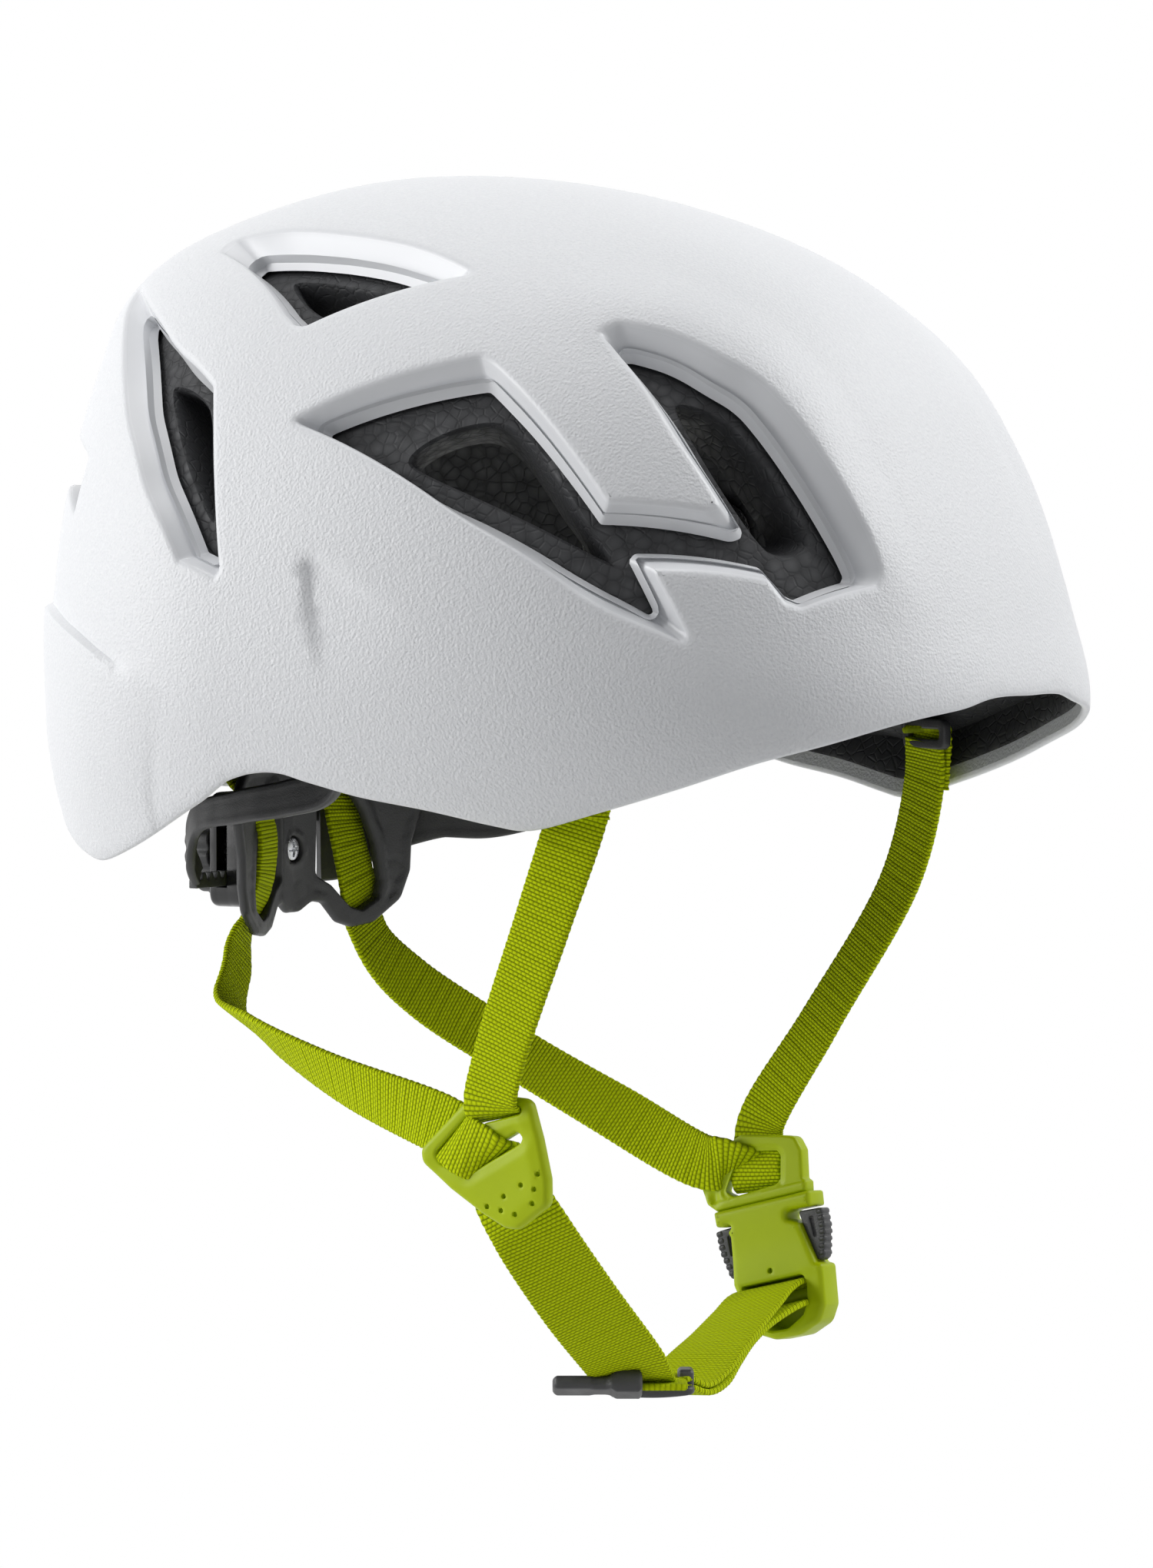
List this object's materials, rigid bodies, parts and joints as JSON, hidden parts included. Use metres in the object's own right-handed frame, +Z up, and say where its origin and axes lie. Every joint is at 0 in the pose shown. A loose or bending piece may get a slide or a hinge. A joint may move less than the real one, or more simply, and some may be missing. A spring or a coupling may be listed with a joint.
{
  "type": "climbing helmet",
  "caption": "Vented climbing helmet: hard shell over a foam liner, nape cradle tightened by a dial, and a webbing chin harness with a side-release buckle.",
  "frame": {"origin": "centre of the crown pad's underside, where the wearer's crown carries the helmet", "axes": "+Z up out of the crown, -Y forwards out of the brow, -X towards the wearer's right"},
  "size_m": [0.2216, 0.2639, 0.3116],
  "materials": {
    "shell_abs": "fine pebbled, semi-gloss, glossy round the vents",
    "foam": "matte expanded bead foam",
    "pad_fabric": "brushed knit over foam",
    "webbing": "woven polyester",
    "green_plastic": "satin moulded nylon",
    "black_plastic": "satin moulded nylon",
    "black_gloss": "glossy moulded",
    "steel": "plain"
  },
  "bodies": {
    "helmet": {"outer_shell": "shell_abs", "foam_liner": "foam", "brow_pad": "pad_fabric", "crown_pad": "pad_fabric", "side_pad_right": "pad_fabric", "side_pad_left": "pad_fabric", "strap_anchor_front_right": "black_plastic", "strap_anchor_front_left": "black_plastic", "strap_anchor_rear_right": "black_plastic", "strap_anchor_rear_left": "black_plastic", "front_strap_right": "webbing", "front_strap_left": "webbing", "rear_strap_right": "webbing", "rear_strap_left": "webbing", "temple_stud_right": "black_plastic", "temple_stud_left": "black_plastic", "strap_divider_right": "green_plastic", "chin_strap_near": "webbing", "chin_strap_far": "webbing", "chin_slider": "black_plastic", "strap_end_tab": "black_plastic", "buckle_frame": "green_plastic", "buckle_housing": "green_plastic", "button_spring": "steel"},
    "headband": {"headband_arm_right": "black_plastic", "headband_arm_left": "black_plastic", "nape_cradle": "black_plastic", "dial_housing": "black_gloss", "dial_pawl": "black_plastic", "dial_screw": "steel"},
    "dial": {"dial_knob": "black_plastic", "dial_pinion": "black_plastic"},
    "rack_right": {"size_rack_right": "black_plastic"},
    "rack_left": {"size_rack_left": "black_plastic"},
    "button_front": {"release_button_front": "black_plastic"},
    "button_rear": {"release_button_rear": "black_plastic"}
  },
  "joints": [
    {"name": "headband_tilt", "type": "hinge", "parent": "helmet", "child": "headband", "pos_m": [0, -0.0239, -0.0974], "axis": [1, 0, 0], "range_deg": [-5, 3], "deforming": ["rear_strap_right", "rear_strap_left"]},
    {"name": "dial_turn", "type": "hinge", "parent": "headband", "child": "dial", "pos_m": [0, 0.075, -0.1414], "axis": [0, -1, 0], "range_deg": [0, 114.59]},
    {"name": "rack_right_slide", "type": "slide", "parent": "headband", "child": "rack_right", "axis": [1, 0, 0], "range_m": [0, 0.012], "deforming": ["headband_arm_right"]},
    {"name": "rack_left_slide", "type": "slide", "parent": "headband", "child": "rack_left", "axis": [-1, 0, 0], "range_m": [0, 0.012], "deforming": ["headband_arm_left"]},
    {"name": "front_release", "type": "slide", "parent": "helmet", "child": "button_front", "axis": [-0.0163, 0.9781, -0.2073], "range_m": [0, 0.0022], "stiffness_N_per_m": 600},
    {"name": "rear_release", "type": "slide", "parent": "helmet", "child": "button_rear", "axis": [0.0163, -0.9781, 0.2073], "range_m": [0, 0.0022], "stiffness_N_per_m": 600}
  ],
  "couplings": [
    {"joint": "rack_right_slide", "follows": "dial_turn", "m_per_rad": 0.006},
    {"joint": "rack_left_slide", "follows": "dial_turn", "m_per_rad": 0.006}
  ]
}
